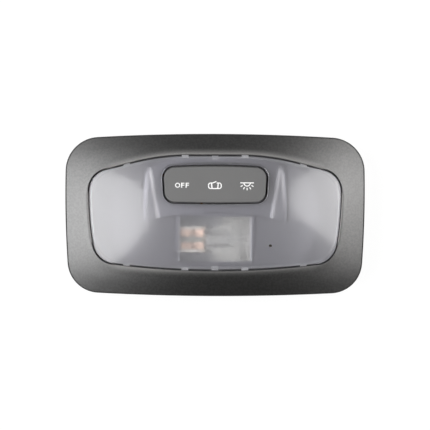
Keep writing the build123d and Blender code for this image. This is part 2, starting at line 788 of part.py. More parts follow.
def make_bulb_glass():
    """Hollow clear envelope on a flat wedge base."""
    start = wedge_end + wedge_length
    tip = start + bulb_envelope_length
    body = envelope(start - 1, tip, bulb_radius, bulb_neck_radius)
    body += box_between((wedge_end, start + bulb_neck_length / 2),
                        (window_y - wedge_width / 2, window_y + wedge_width / 2),
                        (bulb_z - wedge_thickness / 2, bulb_z + wedge_thickness / 2))
    body -= envelope(start + bulb_neck_length / 2, tip - bulb_glass_wall, bulb_radius - bulb_glass_wall,
                     bulb_neck_radius)
    for side in (-1, 1):
        body -= make_bulb_lead(side)
    return body


def make_filament():
    """Tungsten coil between the two leads."""
    reach = lead_spread - lead_radius
    return rod_y(filament_radius, filament_x, (window_y - reach, window_y + reach), bulb_z)


def make_roof_clip():
    """Spring-steel clip on the right-hand tower."""
    leg = tower_x + clip_thickness / 2
    low = tower_bottom - clip_thickness / 2
    top = joint_z - flange_thickness - clip_thickness
    points = [(leg, top), (leg, low - clip_thickness), (leg + tower_thickness, low - 1),
              (leg + clip_spread, top - clip_rise / 2), (leg + clip_spread - 2.8, top)]
    clip = strip_xz(points, clip_thickness, (-clip_width / 2, clip_width / 2))
    half = nub_size / 2 + nub_clearance
    return clip - box_between((leg - 1, leg + 1), (-half, half), (nub_z - half, nub_z + half))


def make_screws():
    """Four self-tapping screws that hold the housing to the bezel."""
    under = joint_z - flange_thickness
    screws = []
    for x, y in boss_points:
        head = upright(screw_head_radius, x, y, under - screw_head_height, under)
        head = fillet(head.edges().sort_by(Axis.Z)[0], screw_head_height / 3)
        screw = head + upright(screw_radius, x, y, under, joint_z + pilot_depth - 0.6)
        slot = screw_head_radius * 0.6
        recess = (under - screw_head_height - 1, under - screw_head_height / 2)
        screw -= box_between((x - slot, x + slot), (y - 0.35, y + 0.35), recess)
        screw -= box_between((x - 0.35, x + 0.35), (y - slot, y + slot), recess)
        screws.append(screw.solid())
    return Compound(screws)


os.makedirs("parts", exist_ok=True)
roof_clip = make_roof_clip()
pieces = {
    "bezel": make_bezel(),
    "lens": make_lens(),
    "reflector": make_reflector(),
    "bulb_diffuser": make_diffuser(),
    "housing": make_housing(),
    "rocker": make_rocker(),
    "contact_bridge": make_contact_bridge(),
    "detent_leaf": make_detent_leaf(),
    "bulb_holder": make_bulb_holder(),
    "bulb_glass": make_bulb_glass(),
    "bulb_filament": make_filament(),
    "bulb_lead_upper": make_bulb_lead(1),
    "bulb_lead_lower": make_bulb_lead(-1),
    "supply_bar": make_supply_bar(),
    "lamp_bar": make_lamp_bar(),
    "door_bar": make_switch_bar(0, door_x),
    "ground_bar": make_switch_bar(-wipe_travel, ground_x),
    "retaining_clip_left": mirror(roof_clip, Plane.YZ),
    "retaining_clip_right": roof_clip,
    "housing_screws": make_screws(),
}
for name, piece in pieces.items():
    export_step(piece, f"parts/{name}.step")
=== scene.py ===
from math import cos, pi, radians, sin

import bmesh
import bpy
from mathutils import Matrix, Vector


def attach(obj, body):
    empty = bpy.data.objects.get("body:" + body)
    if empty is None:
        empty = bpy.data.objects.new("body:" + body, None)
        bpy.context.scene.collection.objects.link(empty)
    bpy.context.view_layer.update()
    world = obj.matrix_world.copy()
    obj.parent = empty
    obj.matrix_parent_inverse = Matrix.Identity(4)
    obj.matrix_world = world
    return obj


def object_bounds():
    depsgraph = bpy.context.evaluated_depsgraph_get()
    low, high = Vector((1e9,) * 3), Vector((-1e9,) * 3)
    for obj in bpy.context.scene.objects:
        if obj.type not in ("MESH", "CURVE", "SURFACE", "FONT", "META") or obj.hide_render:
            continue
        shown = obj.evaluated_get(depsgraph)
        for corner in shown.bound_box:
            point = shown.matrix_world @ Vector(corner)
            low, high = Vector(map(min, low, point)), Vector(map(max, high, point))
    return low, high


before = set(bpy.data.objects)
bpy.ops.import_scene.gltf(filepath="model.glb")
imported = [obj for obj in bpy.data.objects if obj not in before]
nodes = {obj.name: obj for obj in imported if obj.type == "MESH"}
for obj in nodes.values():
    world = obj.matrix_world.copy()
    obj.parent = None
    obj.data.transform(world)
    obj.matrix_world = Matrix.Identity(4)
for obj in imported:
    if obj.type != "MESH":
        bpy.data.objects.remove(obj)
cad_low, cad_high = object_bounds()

MM = 0.001

# Front surfaces of the lamp, in millimetres, as in the CAD model
CROWN_APEX = 14.192
CROWN_RADIUS_X = 380.0
CROWN_RADIUS_Y = 175.0
FACE_RECESS = 0.1
DISH_BOTTOM = -1.5
DISH_RADIUS_X = 400.0
DISH_RADIUS_Y = 220.0
DECK_TOP = 1.6
WINDOW_HALF = (18.5, 11.5)
WINDOW_Y = -11.85

# Lens opening in the bezel, in millimetres
OPENING_TOP = 30.15
OPENING_BOTTOM = -28.05
OPENING_HALF = 63.5
OPENING_CORNER = 11.5
SHOULDER_START = 13.0
SHOULDER_RADIUS = 110.0
SHOULDER_BEND = 27.6
SHOULDER_SLOPE = 0.26
SIDE_RADIUS = 160.0
SIDE_WIDEST = 11.65
BOTTOM_RADIUS = 423.0

# Satin roughness, just enough for a surface to keep its own grain in a denoised picture
SATIN = 0.28


def crown_z(x, y):
    """Height of the rocker's and the lens's front, all in millimetres."""
    return CROWN_APEX - FACE_RECESS - x * x / (2 * CROWN_RADIUS_X) - y * y / (2 * CROWN_RADIUS_Y)


class Value:
    """A shader socket that takes part in Python expressions."""

    def __init__(self, finish, socket):
        self.finish = finish
        self.socket = socket

    def maths(self, operation, *operands):
        return self.finish.node("ShaderNodeMath", {"operation": operation}, dict(enumerate(operands)))

    def other(self, output):
        """Another output of the same node."""
        return Value(self.finish, self.socket.node.outputs[output])

    def __add__(self, other):
        return self.maths("ADD", self, other)

    def __sub__(self, other):
        return self.maths("SUBTRACT", self, other)

    def __rsub__(self, other):
        return self.maths("SUBTRACT", other, self)

    def __mul__(self, other):
        return self.maths("MULTIPLY", self, other)

    def __truediv__(self, other):
        return self.maths("DIVIDE", self, other)

    def __pow__(self, other):
        return self.maths("POWER", self, other)

    __radd__ = __add__
    __rmul__ = __mul__

    def size(self):
        return self.maths("ABSOLUTE", self)

    def most(self, other):
        return self.maths("MAXIMUM", self, other)

    def least(self, other):
        return self.maths("MINIMUM", self, other)

    def step(self, low, high):
        """0 below low, 1 above high, smooth between."""
        inputs = {"Value": self, "From Min": low, "From Max": high}
        return self.finish.node("ShaderNodeMapRange", {"interpolation_type": "SMOOTHSTEP"}, inputs)

    def rise(self, zone):
        """Step over a zone, which is given in millimetres."""
        start, end = zone
        return self.step(start * MM, end * MM)

    def fall(self, zone):
        """1 before a zone in millimetres, 0 after it."""
        return 1 - self.rise(zone)


class Finish:
    """A material and the nodes that make it."""

    def __init__(self, name):
        self.material = bpy.data.materials.new(name)
        self.material.use_nodes = True
        self.tree = self.material.node_tree
        self.tree.nodes.clear()
        self.where = self.node("ShaderNodeTexCoord", output="Object")

    def node(self, kind, settings=None, inputs=None, output=0):
        """Add a node of one kind, with settings first and then its sockets."""
        made = self.tree.nodes.new(kind)
        for key, value in (settings or {}).items():
            setattr(made, key, value)
        for key, value in (inputs or {}).items():
            if isinstance(value, Value):
                self.tree.links.new(value.socket, made.inputs[key])
            else:
                made.inputs[key].default_value = value
        return Value(self, made.outputs[output]) if made.outputs else made

    def noise(self, scale, detail=2.0, roughness=0.5, where=None):
        inputs = {"Vector": where or self.where, "Scale": scale, "Detail": detail, "Roughness": roughness}
        return self.node("ShaderNodeTexNoise", None, inputs, "Fac")

    def stretched(self, scale):
        """Coordinates squeezed or drawn out along the axes."""
        return self.node("ShaderNodeMapping", None, {"Vector": self.where, "Scale": scale})

    def mix(self, amount, first, second):
        """Colour between two colours."""
        inputs = {"Factor": amount, "A": first, "B": second}
        return self.node("ShaderNodeMix", {"data_type": "RGBA"}, inputs, 2)

    def bump(self, height, strength, distance):
        inputs = {"Height": height, "Strength": strength, "Distance": distance}
        return self.node("ShaderNodeBump", None, inputs)

    def axis(self, name):
        return self.node("ShaderNodeSeparateXYZ", None, {"Vector": self.where}, name)

    def below_crown(self, recess=0.0):
        """Depth under the crowned front."""
        x, y, z = self.axis("X"), self.axis("Y"), self.axis("Z")
        fall = x * x / (2 * CROWN_RADIUS_X * MM) + y * y / (2 * CROWN_RADIUS_Y * MM)
        return (CROWN_APEX - recess) * MM - fall - z

    def above_dish(self):
        """Height over the reflector's dish."""
        x, y, z = self.axis("X"), self.axis("Y"), self.axis("Z")
        rise = x * x / (2 * DISH_RADIUS_X * MM) + y * y / (2 * DISH_RADIUS_Y * MM)
        return z - DISH_BOTTOM * MM - rise

    def above_bulb(self):
        """Distance from the bulb's axis towards the rocker; below zero on the other side."""
        return self.axis("Y") - WINDOW_Y * MM

    def off_opening(self):
        """Distance outside the lens opening, in metres; below zero inside it."""
        across, y = self.axis("X").size(), self.axis("Y")
        past = (across - SHOULDER_START * MM).most(0.0)
        bend = past.least(SHOULDER_BEND * MM)
        top = OPENING_TOP * MM - bend * bend / (2 * SHOULDER_RADIUS * MM) - (past - bend) * SHOULDER_SLOPE
        bottom = OPENING_BOTTOM * MM + across * across / (2 * BOTTOM_RADIUS * MM)
        bow = y - SIDE_WIDEST * MM
        side = OPENING_HALF * MM - bow * bow / (2 * SIDE_RADIUS * MM)
        reach_x = (across - side + OPENING_CORNER * MM).most(0.0)
        reach_y = ((y - top).most(bottom - y) + OPENING_CORNER * MM).most(0.0)
        return (reach_x * reach_x + reach_y * reach_y) ** 0.5 - OPENING_CORNER * MM

    def inside(self, centre, half, soft):
        """1 inside a rectangle seen from the front, 0 outside it; all in millimetres."""
        x, y = self.axis("X"), self.axis("Y")
        reach_x = (x - centre[0] * MM).size() - half[0] * MM
        reach_y = (y - centre[1] * MM).size() - half[1] * MM
        return reach_x.most(reach_y).fall((-soft, soft))

    def surface(self, shader):
        self.node("ShaderNodeOutputMaterial", None, {"Surface": shader})
        return self.material

    def plastic(self, **sockets):
        """Principled surface; socket names are given with underscores."""
        inputs = {key.replace("_", " "): value for key, value in sockets.items()}
        return self.node("ShaderNodeBsdfPrincipled", None, inputs)

    def mix_shader(self, amount, first, second):
        return self.node("ShaderNodeMixShader", None, {0: amount, 1: first, 2: second})

    def clear(self, colour):
        """What light passes through unbent."""
        return self.node("ShaderNodeBsdfTransparent", None, {"Color": colour})

    def light_path(self, ray):
        return self.node("ShaderNodeLightPath", output=ray)


def tint(red, green, blue):
    return (red, green, blue, 1)


def grey(level, warm=0.0):
    """Colour close to grey; a positive warm leans to yellow."""
    return tint(level * (1 + warm), level, level * (1 - warm))


# Zones of the bezel's finish and its painted light, in millimetres: out from the opening, down from the
# front, along x and y
LIP_ZONE = (-0.4, 4.2)
LIP_DEPTH = (0.15, 0.6)
WALL_LIGHT_ZONE = (0.05, 0.4)
WORN_ZONE = (0.2, 1.6)
BEZEL_ENDS = (46.0, 60.0)
WEAKER_SHEEN_Y = (-5.0, 5.0)
WEAKER_SHEEN_X = (-40.0, -8.0)


def bezel_finish():
    """Charcoal satin moulding with a fine eroded grain, a painted sheen along the lens opening and painted
    light on the opening's wall at its ends.
    """
    f = Finish("bezel charcoal")
    grain = f.noise(5200, 2, 0.6)
    speck = f.noise(1000, 2, 0.6)
    cloud = f.noise(45, 3)
    pit = speck.step(0.35, 0.65)
    colour = f.mix(cloud * 0.3 + pit * 0.7, grey(0.001, 0.03), grey(0.009, 0.04))
    off = f.off_opening()
    ends = f.axis("X").size().rise(BEZEL_ENDS)
    weaker_sheen = f.axis("Y").fall(WEAKER_SHEEN_Y) * f.axis("X").rise(WEAKER_SHEEN_X)
    # Painted sheen: paler along the lens opening, weaker at the ends and on the lower right
    painted_lip_sheen = off.fall(LIP_ZONE) ** 1.6 * f.below_crown().fall(LIP_DEPTH)
    painted_lip_sheen = painted_lip_sheen * (1 - ends * 0.75) * (0.9 - weaker_sheen * 0.5)
    colour = f.mix(painted_lip_sheen * (0.8 + cloud * 0.4), colour, grey(0.17, 0.02))
    # Painted light: the opening's wall at the bezel's ends is painted pale, as if lit from the sides
    colour = f.mix(off.fall(WALL_LIGHT_ZONE) * ends, colour, grey(0.45, 0.02))
    worn = off.fall(WORN_ZONE) * 0.16
    return f.surface(f.plastic(
        Base_Color=colour, Roughness=SATIN + worn + (grain - 0.5) * 0.01, Specular_IOR_Level=0.84,
        Coat_Weight=pit * 0.2, Coat_Roughness=SATIN, Normal=f.bump(speck, 0.06, 0.06 * MM)))


# Depth below the rocker's front at which its flanks are painted dark, a painted shade in the gap round the
# cap, in millimetres
SHADED_FLANK_DEPTH = (0.3, 0.9)


def rocker_finish():
    """Matt grey cap with a finer grain than the bezel; its flanks are painted dark as shade in the gap
    round it.
    """
    f = Finish("rocker grey")
    grain = f.noise(3600, 2, 0.6)
    cloud = f.noise(60, 3)
    colour = f.mix(cloud * 0.7 + grain * 0.3, grey(0.107), grey(0.130))
    # Painted shade: the flanks seen in the gap round the cap are near black
    colour = f.mix(f.below_crown(FACE_RECESS).rise(SHADED_FLANK_DEPTH), colour, grey(0.01))
    return f.surface(f.plastic(
        Base_Color=colour, Roughness=0.55 + (grain - 0.5) * 0.12,
        Normal=f.bump(grain, 0.2, 0.03 * MM)))


# Zones along the lens's edge, in millimetres; those across it count out from the opening
LENS_ENDS = (46.0, 56.0)
HIGHLIGHT_ENDS = (13.0, 19.0)
HIGHLIGHT_PLACE = -1.6
HIGHLIGHT_WIDTH = (0.1, 0.55)
RIM_ZONE = (-4.0, -2.5)
RIM_DEPTH = (0.06, 0.3)
GAP_SHADOW_ZONE = (-1.15, -0.75)

# Frosted pads where the lens's tabs and hooks join its edge: x, y and strength
LENS_PADS = [(side * x, y, strength) for side in (-1, 1) for x, y, strength in (
    (15.0, 29.6, 0.42), (15.0, -27.3, 0.42), (44.3, 25.3, 0.3), (44.3, -25.6, 0.3))]
LENS_PADS += [(0.0, 28.6, 0.25), (0.0, -26.6, 0.3)]
PAD_HALF = (1.7, 1.15)
PAD_SOFT = 0.25


def lens_finish():
    """Clear hazed cover with a painted highlight along its edge, and a painted shadow of the gap along its
    long edges that the pads break.
    """
    f = Finish("lens clear")
    haze = f.noise(900, 3)
    off = f.off_opening()
    long_edge = f.axis("X").size().fall(LENS_ENDS)
    short_edge = (1 - long_edge) * f.axis("Y").size().fall(HIGHLIGHT_ENDS)
    rim = f.below_crown(FACE_RECESS).rise(RIM_DEPTH) * off.rise(RIM_ZONE) * 0.55
    # Painted highlight: a pale frosted line just inside the edge, stronger on the short edges
    painted_edge_highlight = (off - HIGHLIGHT_PLACE * MM).size().fall(HIGHLIGHT_WIDTH) * (0.14 + short_edge * 0.2)
    pads = painted_edge_highlight
    for pad_x, pad_y, strength in LENS_PADS:
        pads = pads.most(f.inside((pad_x, pad_y), PAD_HALF, PAD_SOFT) * strength)
    # Painted shadow of the gap round the lens: dark along the long edges, broken by the pads
    painted_gap_shadow = off.rise(GAP_SHADOW_ZONE) * long_edge * (1 - pads.step(0.15, 0.25)) * 0.8
    frost = rim.most(pads).most(painted_gap_shadow)
    glass = f.plastic(
        Base_Color=tint(0.93, 0.93, 0.96), Roughness=SATIN + (haze - 0.5) * 0.01, IOR=1.35,
        Transmission_Weight=0.95, Coat_Weight=0.92, Coat_Roughness=0.1)
    colour = f.mix(painted_edge_highlight.step(0.15, 0.25), tint(0.50, 0.50, 0.52), tint(0.86, 0.86, 0.90))
    milk = f.plastic(Base_Color=f.mix(painted_gap_shadow.step(0.1, 0.6), colour, grey(0.012)), Roughness=0.35)
    body = f.mix_shader(frost, glass, milk)
    clear = f.clear(tint(0.9, 0.9, 0.92))
    return f.surface(f.mix_shader(f.light_path("Is Camera Ray"), clear, body))


# Zones of the reflector's finish and its painted shade, in millimetres
DECK_RISE = (0.4, 0.9)
DISH_RIM_SHADE = (-3.4, -0.8)
DISH_RIM_SHADE_Y = (-23.0, -12.0)
SHADE_RIGHT_X = (-5.0, 40.0)
SWELL_FOOT = (0.01, 0.08)
SWELL_CREST = (0.2, 0.42)

# Painted highlight lines on a fairing: distance from the lamp's middle at the foot, lean outwards, soft
# half-width
FAIRING_FOOT_Y = -4.0
OUTER_LINE_X, OUTER_LEAN, OUTER_WIDTH = 34.4, -0.035, (0.1, 1.3)
INNER_LINE_X, INNER_LEAN, INNER_WIDTH = 28.0, 0.165, (0.1, 1.5)
FAIRING_UP = (0.0, 20.0)
FAIRING_TOP = (22.5, 26.0)
LEFT_HALF = (-5.0, 5.0)


def reflector_finish():
    """Satin silver coat: the deck is lighter than the dish, with painted shade along the dish's lower rim,
    over the right half and on the fairings' crests, and painted highlight lines along the fairings' edges.
    """
    f = Finish("reflector satin silver")
    grain = f.noise(1800, 3, 0.6)
    cloud = f.noise(30, 3)
    x, y = f.axis("X"), f.axis("Y")
    dish = f.mix(cloud, tint(0.175, 0.172, 0.183), tint(0.203, 0.200, 0.212))
    deck = f.mix(cloud, tint(0.233, 0.230, 0.249), tint(0.273, 0.270, 0.291))
    raised = f.above_dish().rise(DECK_RISE)
    colour = f.mix(raised, dish, deck)
    # Painted shade: darker along the dish's lower rim, towards the right and on the fairings' crests
    rim = f.off_opening().rise(DISH_RIM_SHADE) * y.fall(DISH_RIM_SHADE_Y)
    painted_shade_right = x.rise(SHADE_RIGHT_X) * 0.4
    swell = f.axis("Z") - DECK_TOP * MM
    crest = swell.rise(SWELL_CREST)
    colour = f.mix((rim * 0.45).most(painted_shade_right).most(crest * 0.3), colour, grey(0.1))

    def painted_highlight_line(place, lean, width):
        line = x.size() - place * MM - (y - FAIRING_FOOT_Y * MM) * lean
        return line.size().fall(width)

    # Painted highlights: pale lines along the fairings' edges, standing in for the soft boxes' reflections
    up, left = y.rise(FAIRING_UP), x.fall(LEFT_HALF)
    outer = painted_highlight_line(OUTER_LINE_X, OUTER_LEAN, OUTER_WIDTH) * up * (0.56 - left * 0.34)
    inner = painted_highlight_line(INNER_LINE_X, INNER_LEAN, INNER_WIDTH) * (0.65 + up * 0.35) * (0.56 + left * 0.28)
    edge = outer.most(inner) * raised * y.fall(FAIRING_TOP)
    colour = f.mix(edge, colour, grey(0.72, 0.02))
    roughness = 0.295 + swell.rise(SWELL_FOOT) * 0.1 + crest * 0.15 + (grain - 0.5) * 0.04
    return f.surface(f.plastic(
        Base_Color=colour, Metallic=0.25 - crest * 0.2, Roughness=roughness,
        Normal=f.bump(grain, 0.15, 0.03 * MM)))


# Pale frosted edges of the pane and its painted highlight on the right, in millimetres from its middle
PANE_SHORT_EDGE = (17.2, 18.2)
PANE_LONG_EDGE = (10.5, 11.2)
PANE_LONG_EDGE_X = (-9.0, 0.0)
PANE_RIGHT_HIGHLIGHT = (16.0, 17.0)


def diffuser_finish():
    """Frosted pane over the bulb, paler along its edges, with a painted highlight along its right edge."""
    f = Finish("diffuser frosted")
    frost = f.noise(2400, 3)
    x = f.axis("X")
    long_edge = f.above_bulb().size().rise(PANE_LONG_EDGE) * x.rise(PANE_LONG_EDGE_X)
    edge = x.size().rise(PANE_SHORT_EDGE).most(long_edge * 0.5)
    glass = f.plastic(
        Base_Color=tint(0.95, 0.95, 0.94), Roughness=0.2 + (frost - 0.5) * 0.02, IOR=1.45,
        Transmission_Weight=1.0)
    colour = f.mix(frost, tint(0.48, 0.48, 0.49), tint(0.56, 0.56, 0.57))
    # Painted highlight along the pane's right edge
    colour = f.mix(x.rise(PANE_RIGHT_HIGHLIGHT), colour, tint(0.78, 0.78, 0.80))
    milk = f.plastic(Base_Color=colour, Roughness=0.5)
    body = f.mix_shader(0.07 + edge * 0.6, glass, milk)
    clear = f.clear(grey(0.85))
    return f.surface(f.mix_shader(f.light_path("Is Shadow Ray"), body, clear))


# Pale lining of the bulb pocket, in millimetres: margin round the window, heights, and zones in it
LINING_MARGIN = 0.7
LINING_SOFT = 0.4
LINING_TOP = (-7.4, -7.2)
LINING_FLOOR = (-15.0, -14.5)
LINING_START = (-4.0, 3.0)
LINING_SHIFT = 4.0
BESIDE_BULB = (4.5, 7.5)
UNDER_BULB = (2.0, 5.0)


def housing_finish():
    """Grey moulding as it leaves the tool, with faint flow clouds and a pale lining under the bulb."""
    f = Finish("housing grey")
    grain = f.noise(1500, 3, 0.6)
    flow = f.noise(28, 4, 0.55, f.stretched((1, 2.2, 1)))
    colour = f.mix(flow * 0.8 + grain * 0.2, grey(0.135, 0.01), grey(0.195))
    z = f.axis("Z")
    lined = f.inside((0, WINDOW_Y), [half + LINING_MARGIN for half in WINDOW_HALF], LINING_SOFT)
    lined = lined * z.fall(LINING_TOP) * z.rise(LINING_FLOOR)
    above = f.above_bulb()
    shift = 1 - above.size().rise(BESIDE_BULB) - above.rise(BESIDE_BULB)
    lined = lined * (f.axis("X") + shift * LINING_SHIFT * MM).rise(LINING_START)
    under = above.size().fall(UNDER_BULB)
    lining = f.mix(under, tint(0.435, 0.43, 0.385), tint(0.54, 0.53, 0.485))
    return f.surface(f.plastic(
        Base_Color=f.mix(lined, colour, lining), Roughness=0.5 + (flow - 0.5) * 0.2,
        Normal=f.bump(grain, 0.18, 0.04 * MM)))


# Noise scales of metal: streaks drawn out along one axis, or along none, and dull patches
ALONG_X = (200, 3000, 3000)
ALONG_Y = (3000, 200, 3000)
WIRE_DRAWN = (3000, 400, 3000)
PLATED = (900, 900, 900)


PATCH_SCALE = 160


def rolled(f, patch, drawn, dark, bright, roughness):
    """Colour, roughness and bump of rolled or drawn metal."""
    streak = f.noise(1.0, 3, 0.6, f.stretched(drawn))
    colour = f.mix(streak * 0.5 + patch * 0.5, dark, bright)
    uneven = roughness + (streak - 0.5) * 0.2 + (patch - 0.5) * 0.1
    return colour, uneven, f.bump(streak, 0.12, 0.01 * MM)


def metal_finish(name, dark, bright, drawn, roughness):
    """Rolled or drawn metal: fine streaks along one axis and dull patches."""
    f = Finish(name)
    colour, uneven, bump = rolled(f, f.noise(PATCH_SCALE, 3), drawn, dark, bright, roughness)
    return f.surface(f.plastic(Base_Color=colour, Metallic=1.0, Roughness=uneven, Normal=bump))


# Painted shade on the brass, in millimetres: along the tray, across the clips' bend, on the lower clip
BRASS_SHADE_START = (0.0, 4.0)
BEND_X = -11.1
BEND_HALF = (0.75, 9.0)
BEND_SOFT = 0.4
LOWER_CLIP = (-0.5, 0.5)


def brass_finish():
    """Brass strip: pale at the bulb clips, painted dark brown as shade along the tray, across the clips'
    bend and on the lower clip.
    """
    f = Finish("brass strip")
    patch = f.noise(PATCH_SCALE, 3)
    dark, bright = tint(0.38, 0.26, 0.20), tint(0.52, 0.39, 0.30)
    clean, uneven, bump = rolled(f, patch, ALONG_X, dark, bright, 0.46)
    # Painted shade: the brass towards the rocker, the clips' bend and the lower clip are darkened
    painted_brass_shade = f.axis("Y").rise(BRASS_SHADE_START) * (0.75 + patch * 0.3)
    painted_brass_shade = painted_brass_shade.most(f.inside((BEND_X, WINDOW_Y), BEND_HALF, BEND_SOFT) * 0.6)
    painted_brass_shade = painted_brass_shade.most(f.above_bulb().fall(LOWER_CLIP) * 0.16)
    return f.surface(f.plastic(
        Base_Color=f.mix(painted_brass_shade, clean, tint(0.10, 0.07, 0.045)), Metallic=0.8,
        Roughness=uneven, Normal=bump))


# Zones of the holder's finish, in millimetres
SCORCH_X = (-10.0, -4.0)
GROOVE_HALF = (0.8, 1.8)


def holder_finish():
    """Pale heat-resistant plastic, with painted shade in its groove, and a little scorched towards the
    bulb.
    """
    f = Finish("holder cream")
    grain = f.noise(1400, 3)
    cloud = f.noise(110, 3)
    scorch = f.axis("X").rise(SCORCH_X) * (0.3 + cloud * 0.5)
    pale = f.mix(cloud, tint(0.58, 0.55, 0.475), tint(0.66, 0.63, 0.56))
    # Painted shade along the groove
    groove = f.above_bulb().size().fall(GROOVE_HALF)
    pale = f.mix(groove * 0.8, pale, tint(0.32, 0.33, 0.28))
    return f.surface(f.plastic(
        Base_Color=f.mix(scorch, pale, tint(0.52, 0.43, 0.31)), Roughness=0.5 + (grain - 0.5) * 0.15,
        Normal=f.bump(grain, 0.15, 0.03 * MM)))


def bulb_finish():
    """Thin clear glass that lets the light through."""
    f = Finish("bulb glass")
    ripple = f.noise(160, 2, 0.5, f.stretched((0.25, 1, 1)))
    glass = f.plastic(
        Base_Color=tint(0.98, 0.985, 0.985), Roughness=0.02, IOR=1.12, Transmission_Weight=1.0,
        Normal=f.bump(ripple, 0.08, 0.2 * MM))
    clear = f.clear(tint(0.96, 0.97, 0.97))
    return f.surface(f.mix_shader(f.light_path("Is Shadow Ray"), glass, clear))


def print_finish():
    """White ink, slightly uneven."""
    f = Finish("legend white")
    cloud = f.noise(700, 3)
    return f.surface(f.plastic(
        Base_Color=f.mix(cloud, grey(0.80), tint(0.90, 0.90, 0.89)), Roughness=0.5))


def dirt_finish():
    """Dark speck of grit."""
    f = Finish("grit")
    cloud = f.noise(3000, 3)
    return f.surface(f.plastic(
        Base_Color=f.mix(cloud, tint(0.012, 0.009, 0.007), tint(0.045, 0.034, 0.024)), Roughness=0.8))


def dress(names, material):
    """Give CAD nodes a finish."""
    for name in names:
        data = nodes[name].data
        data.materials.clear()
        data.materials.append(material)


def new_object(name, mesh_source, material):
    """Make an object from a bmesh."""
    data = bpy.data.meshes.new(name)
    mesh_source.to_mesh(data)
    mesh_source.free()
    data.materials.append(material)
    made = bpy.data.objects.new(name, data)
    bpy.context.scene.collection.objects.link(made)
    return made


def new_piece(name, mesh_source, material, body):
    """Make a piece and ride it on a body."""
    piece = new_object(name, mesh_source, material)
    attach(piece, body)


# Legends on the rocker, in millimetres
INK = 0.03
INK_LIFT = 0.01
SAME_POINT = 0.004
LETTERS = (("O", -20.0, -17.45), ("F", -17.05, -15.3), ("F", -14.75, -13.0))
LETTER_LOW, LETTER_HIGH = 13.5, 16.1
LETTER_WEIGHT = 0.035
LETTER_STEPS = 6
CORNER_STEPS = 8
BOWL_STEPS = 14


def bar(bm, start, end, width):
    """Flat stroke between two points on the rocker, in millimetres."""
    start, end = Vector(start), Vector(end)
    run = end - start
    made = bmesh.ops.create_grid(bm, x_segments=2, y_segments=1, size=0.5)["verts"]
    turn = Matrix.Rotation(run.to_2d().angle_signed(Vector((1, 0))), 4, "Z")
    middle = (start + end) / 2
    place = Matrix.Translation(middle.to_3d()) @ turn @ Matrix.Diagonal((run.length, width, 1, 1))
    bmesh.ops.transform(bm, matrix=place, verts=made)


def arc_band(bm, centre, radius, width, start, sweep, steps):
    """Flat curved stroke, swept about a centre."""
    drawn = set(bm.verts)
    heading = Vector((cos(start), sin(start)))
    inner = bm.verts.new((*(heading * (radius - width / 2)), 0))
    outer = bm.verts.new((*(heading * (radius + width / 2)), 0))
    edge = bm.edges.new((inner, outer))
    bmesh.ops.spin(bm, geom=[inner, outer, edge], cent=(0, 0, 0), axis=(0, 0, 1), angle=sweep, steps=steps)
    fresh = [vert for vert in bm.verts if vert not in drawn]
    bmesh.ops.translate(bm, vec=(*centre, 0), verts=fresh)


def print_on_rocker(name, bm):
    """Lay flat strokes on the crowned cap as a thin film of ink."""
    bmesh.ops.remove_doubles(bm, verts=bm.verts, dist=SAME_POINT)
    bmesh.ops.recalc_face_normals(bm, faces=bm.faces)
    for face in bm.faces:
        if face.normal.z < 0:
            face.normal_flip()
    for vert in bm.verts:
        vert.co.z = crown_z(vert.co.x, vert.co.y) + INK_LIFT
    film = bmesh.ops.extrude_face_region(bm, geom=bm.faces[:])["geom"]
    raised = [item for item in film if isinstance(item, bmesh.types.BMVert)]
    bmesh.ops.translate(bm, vec=(0, 0, INK), verts=raised)
    bmesh.ops.recalc_face_normals(bm, faces=bm.faces)
    bmesh.ops.scale(bm, vec=(MM, MM, MM), verts=bm.verts)
    new_piece(name, bm, white_ink, "switch")


def letter(bm, body, left, right, low, high):
    """Flat letter that fills a box on the rocker, in millimetres."""
    curve = bpy.data.curves.new("letter", "FONT")
    curve.body = body
    curve.offset = LETTER_WEIGHT
    curve.resolution_u = LETTER_STEPS
    text = bpy.data.objects.new("letter", curve)
    bpy.context.scene.collection.objects.link(text)
    bpy.context.view_layer.update()
    flat = bpy.data.meshes.new_from_object(text)
    bpy.data.objects.remove(text)
    xs, ys = [v.co.x for v in flat.vertices], [v.co.y for v in flat.vertices]
    fill = Matrix.Diagonal(((right - left) / (max(xs) - min(xs)), (high - low) / (max(ys) - min(ys)), 1, 1))
    flat.transform(Matrix.Translation((left, low, 0)) @ fill @ Matrix.Translation((-min(xs), -min(ys), 0)))
    bm.from_mesh(flat)
    bpy.data.meshes.remove(flat)


def off_legend():
    """The word OFF."""
    bm = bmesh.new()
    for body, left, right in LETTERS:
        letter(bm, body, left, right, LETTER_LOW, LETTER_HIGH)
    print_on_rocker("legend_off", bm)


